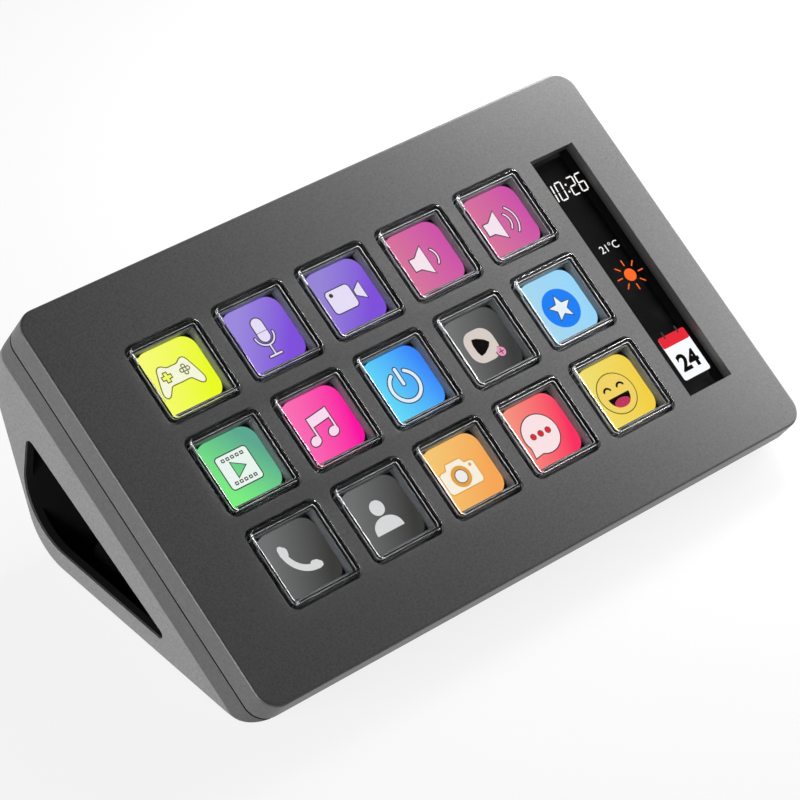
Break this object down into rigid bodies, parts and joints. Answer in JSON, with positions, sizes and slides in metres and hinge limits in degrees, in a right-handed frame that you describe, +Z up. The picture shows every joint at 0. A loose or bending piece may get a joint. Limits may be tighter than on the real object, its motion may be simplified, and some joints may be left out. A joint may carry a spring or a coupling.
{
  "type": "display macro keypad",
  "caption": "Sloping desk keypad with clear push keys over a colour display, a tall information display beside them, and a hollow wedge stand moulded with the lower case.",
  "frame": {"origin": "middle of the footprint, on the surface that the feet stand on", "axes": "+X to the user's right, +Y away from the user, +Z up"},
  "size_m": [0.1316, 0.0776, 0.049],
  "materials": {
    "cover_plastic": "satin moulded face, dark grey",
    "case_plastic": "fine matte texture, dark grey",
    "base_plastic": "matte, black",
    "foot_rubber": "soft matte rubber",
    "dark_glass": "glossy, black behind",
    "black_plastic": "matte black",
    "board_laminate": "solder mask, satin",
    "diffuser_plastic": "milky white",
    "sheet_steel": "pressed sheet",
    "chip_plastic": "moulded epoxy",
    "connector_plastic": "moulded, ivory",
    "flex_film": "polyimide film",
    "socket_steel": "plated sheet",
    "screw_steel": "blackened zinc",
    "clear_plastic": "polished, clear",
    "silicone": "moulded silicone"
  },
  "bodies": {
    "housing": {"top_cover": "cover_plastic", "lower_case": "case_plastic", "base_plate": "base_plastic", "foot_front": "foot_rubber", "foot_rear": "foot_rubber", "info_window": "dark_glass", "key_frame": "black_plastic", "switch_board": "board_laminate", "display_glass": "dark_glass", "light_guide": "diffuser_plastic", "light_shroud": "black_plastic", "display_tray": "sheet_steel", "clamp_plate": "sheet_steel", "main_board": "board_laminate", "board_chips": "chip_plastic", "board_connectors": "connector_plastic", "display_flex": "flex_film", "switch_flex": "flex_film", "usb_socket": "socket_steel", "usb_tongue": "black_plastic", "case_screws": "screw_steel", "clamp_screws": "screw_steel", "board_screws": "screw_steel", "base_screws": "screw_steel", "key_spring_r1c1": "silicone", "key_spring_r1c2": "silicone", "key_spring_r1c3": "silicone", "key_spring_r1c4": "silicone", "key_spring_r1c5": "silicone", "key_spring_r2c1": "silicone", "key_spring_r2c2": "silicone", "key_spring_r2c3": "silicone", "key_spring_r2c4": "silicone", "key_spring_r2c5": "silicone", "key_spring_r3c1": "silicone", "key_spring_r3c2": "silicone", "key_spring_r3c3": "silicone", "key_spring_r3c4": "silicone", "key_spring_r3c5": "silicone"},
    "key_r1c1": {"keycap_r1c1": "clear_plastic"},
    "key_r1c2": {"keycap_r1c2": "clear_plastic"},
    "key_r1c3": {"keycap_r1c3": "clear_plastic"},
    "key_r1c4": {"keycap_r1c4": "clear_plastic"},
    "key_r1c5": {"keycap_r1c5": "clear_plastic"},
    "key_r2c1": {"keycap_r2c1": "clear_plastic"},
    "key_r2c2": {"keycap_r2c2": "clear_plastic"},
    "key_r2c3": {"keycap_r2c3": "clear_plastic"},
    "key_r2c4": {"keycap_r2c4": "clear_plastic"},
    "key_r2c5": {"keycap_r2c5": "clear_plastic"},
    "key_r3c1": {"keycap_r3c1": "clear_plastic"},
    "key_r3c2": {"keycap_r3c2": "clear_plastic"},
    "key_r3c3": {"keycap_r3c3": "clear_plastic"},
    "key_r3c4": {"keycap_r3c4": "clear_plastic"},
    "key_r3c5": {"keycap_r3c5": "clear_plastic"}
  },
  "joints": [
    {"name": "key_r1c1_press", "type": "slide", "parent": "housing", "child": "key_r1c1", "axis": [0, 0.5, -0.866], "range_m": [0, 0.0006], "stiffness_N_per_m": 500, "springref_m": -0.0005, "deforming": ["key_spring_r1c1"]},
    {"name": "key_r1c2_press", "type": "slide", "parent": "housing", "child": "key_r1c2", "axis": [0, 0.5, -0.866], "range_m": [0, 0.0006], "stiffness_N_per_m": 500, "springref_m": -0.0005, "deforming": ["key_spring_r1c2"]},
    {"name": "key_r1c3_press", "type": "slide", "parent": "housing", "child": "key_r1c3", "axis": [0, 0.5, -0.866], "range_m": [0, 0.0006], "stiffness_N_per_m": 500, "springref_m": -0.0005, "deforming": ["key_spring_r1c3"]},
    {"name": "key_r1c4_press", "type": "slide", "parent": "housing", "child": "key_r1c4", "axis": [0, 0.5, -0.866], "range_m": [0, 0.0006], "stiffness_N_per_m": 500, "springref_m": -0.0005, "deforming": ["key_spring_r1c4"]},
    {"name": "key_r1c5_press", "type": "slide", "parent": "housing", "child": "key_r1c5", "axis": [0, 0.5, -0.866], "range_m": [0, 0.0006], "stiffness_N_per_m": 500, "springref_m": -0.0005, "deforming": ["key_spring_r1c5"]},
    {"name": "key_r2c1_press", "type": "slide", "parent": "housing", "child": "key_r2c1", "axis": [0, 0.5, -0.866], "range_m": [0, 0.0006], "stiffness_N_per_m": 500, "springref_m": -0.0005, "deforming": ["key_spring_r2c1"]},
    {"name": "key_r2c2_press", "type": "slide", "parent": "housing", "child": "key_r2c2", "axis": [0, 0.5, -0.866], "range_m": [0, 0.0006], "stiffness_N_per_m": 500, "springref_m": -0.0005, "deforming": ["key_spring_r2c2"]},
    {"name": "key_r2c3_press", "type": "slide", "parent": "housing", "child": "key_r2c3", "axis": [0, 0.5, -0.866], "range_m": [0, 0.0006], "stiffness_N_per_m": 500, "springref_m": -0.0005, "deforming": ["key_spring_r2c3"]},
    {"name": "key_r2c4_press", "type": "slide", "parent": "housing", "child": "key_r2c4", "axis": [0, 0.5, -0.866], "range_m": [0, 0.0006], "stiffness_N_per_m": 500, "springref_m": -0.0005, "deforming": ["key_spring_r2c4"]},
    {"name": "key_r2c5_press", "type": "slide", "parent": "housing", "child": "key_r2c5", "axis": [0, 0.5, -0.866], "range_m": [0, 0.0006], "stiffness_N_per_m": 500, "springref_m": -0.0005, "deforming": ["key_spring_r2c5"]},
    {"name": "key_r3c1_press", "type": "slide", "parent": "housing", "child": "key_r3c1", "axis": [0, 0.5, -0.866], "range_m": [0, 0.0006], "stiffness_N_per_m": 500, "springref_m": -0.0005, "deforming": ["key_spring_r3c1"]},
    {"name": "key_r3c2_press", "type": "slide", "parent": "housing", "child": "key_r3c2", "axis": [0, 0.5, -0.866], "range_m": [0, 0.0006], "stiffness_N_per_m": 500, "springref_m": -0.0005, "deforming": ["key_spring_r3c2"]},
    {"name": "key_r3c3_press", "type": "slide", "parent": "housing", "child": "key_r3c3", "axis": [0, 0.5, -0.866], "range_m": [0, 0.0006], "stiffness_N_per_m": 500, "springref_m": -0.0005, "deforming": ["key_spring_r3c3"]},
    {"name": "key_r3c4_press", "type": "slide", "parent": "housing", "child": "key_r3c4", "axis": [0, 0.5, -0.866], "range_m": [0, 0.0006], "stiffness_N_per_m": 500, "springref_m": -0.0005, "deforming": ["key_spring_r3c4"]},
    {"name": "key_r3c5_press", "type": "slide", "parent": "housing", "child": "key_r3c5", "axis": [0, 0.5, -0.866], "range_m": [0, 0.0006], "stiffness_N_per_m": 500, "springref_m": -0.0005, "deforming": ["key_spring_r3c5"]}
  ]
}
